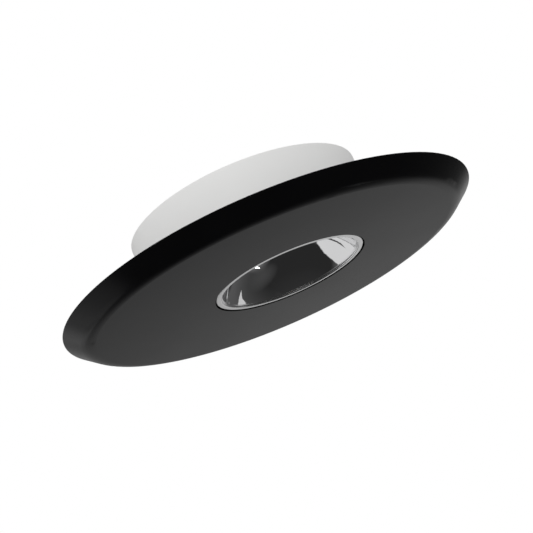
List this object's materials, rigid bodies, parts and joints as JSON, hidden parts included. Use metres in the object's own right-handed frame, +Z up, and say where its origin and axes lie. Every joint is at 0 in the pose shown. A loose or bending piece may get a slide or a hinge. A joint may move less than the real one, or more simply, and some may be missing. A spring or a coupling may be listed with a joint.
{
  "type": "soffit downlight",
  "caption": "Round surface-mounted soffit downlight: white can on a keyhole ceiling plate, shallow black trim dish held by magnets, off-centre mirrored aperture.",
  "frame": {"origin": "on the ceiling plane, on the axis of the can; everything hangs below it", "axes": "+Z up into the ceiling, -Z the way the light shines; the aperture sits towards +X and -Y of the axis, and the terminal block towards +Y"},
  "size_m": [0.2, 0.2, 0.0403],
  "materials": {
    "zinc_steel": "satin",
    "screw_steel": "satin",
    "white_coat": "matte",
    "black_coat": "satin",
    "sealing_foam": "matte",
    "grommet_rubber": "matte",
    "cast_aluminium": "matte",
    "thermal_gel": "matte",
    "board_aluminium": "satin",
    "chip_phosphor": "matte",
    "holder_plastic": "matte",
    "lens_glass": "gloss",
    "lens_gasket": "matte",
    "mirror_aluminium": "polished",
    "ring_aluminium": "satin",
    "case_plastic": "matte",
    "circuit_board": "satin",
    "winding_tape": "satin",
    "capacitor_can": "satin",
    "terminal_plastic": "satin",
    "contact_brass": "satin",
    "lever_plastic": "gloss",
    "lead_insulation": "satin",
    "magnet_nickel": "polished"
  },
  "bodies": {
    "ceiling_mount": {"mounting_plate": "zinc_steel", "hanging_screws": "screw_steel"},
    "canopy_unit": {"canopy": "white_coat", "ceiling_gasket": "sealing_foam", "cable_grommet": "grommet_rubber", "front_plate": "zinc_steel", "front_plate_seal": "sealing_foam", "front_plate_screws": "screw_steel", "heat_sink": "cast_aluminium", "thermal_pad": "thermal_gel", "led_board": "board_aluminium", "led_chip": "chip_phosphor", "led_holder": "holder_plastic", "holder_screws": "screw_steel", "lens": "lens_glass", "lens_seal": "lens_gasket", "reflector": "mirror_aluminium", "aperture_ring": "ring_aluminium", "optic_screws": "screw_steel", "driver_case": "case_plastic", "driver_cover": "case_plastic", "driver_screws": "screw_steel", "driver_board": "circuit_board", "driver_transformer": "winding_tape", "driver_capacitors": "capacitor_can", "terminal_block": "terminal_plastic", "terminal_contacts": "contact_brass", "earth_strap": "contact_brass", "terminal_screw": "screw_steel", "earth_screw": "screw_steel", "supply_leads": "lead_insulation", "led_leads": "lead_insulation"},
    "trim": {"trim_disc": "black_coat", "magnets": "magnet_nickel", "locating_studs": "screw_steel"},
    "lever_live": {"lever_live": "lever_plastic"},
    "lever_neutral": {"lever_neutral": "lever_plastic"},
    "lever_earth": {"lever_earth": "lever_plastic"}
  },
  "joints": [
    {"name": "canopy_twist", "type": "hinge", "parent": "ceiling_mount", "child": "canopy_unit", "pos_m": [0, 0, 0], "axis": [0, 0, -1], "range_deg": [0, 15]},
    {"name": "trim_pull", "type": "slide", "parent": "canopy_unit", "child": "trim", "axis": [0, 0, -1], "range_m": [0, 0.04]},
    {"name": "lever_live_turn", "type": "hinge", "parent": "canopy_unit", "child": "lever_live", "pos_m": [0.005, 0.0308, -0.0136], "axis": [0, -1, 0], "range_deg": [0, 80]},
    {"name": "lever_neutral_turn", "type": "hinge", "parent": "canopy_unit", "child": "lever_neutral", "pos_m": [0.005, 0.037, -0.0136], "axis": [0, -1, 0], "range_deg": [0, 80]},
    {"name": "lever_earth_turn", "type": "hinge", "parent": "canopy_unit", "child": "lever_earth", "pos_m": [0.005, 0.0432, -0.0136], "axis": [0, -1, 0], "range_deg": [0, 80]}
  ]
}
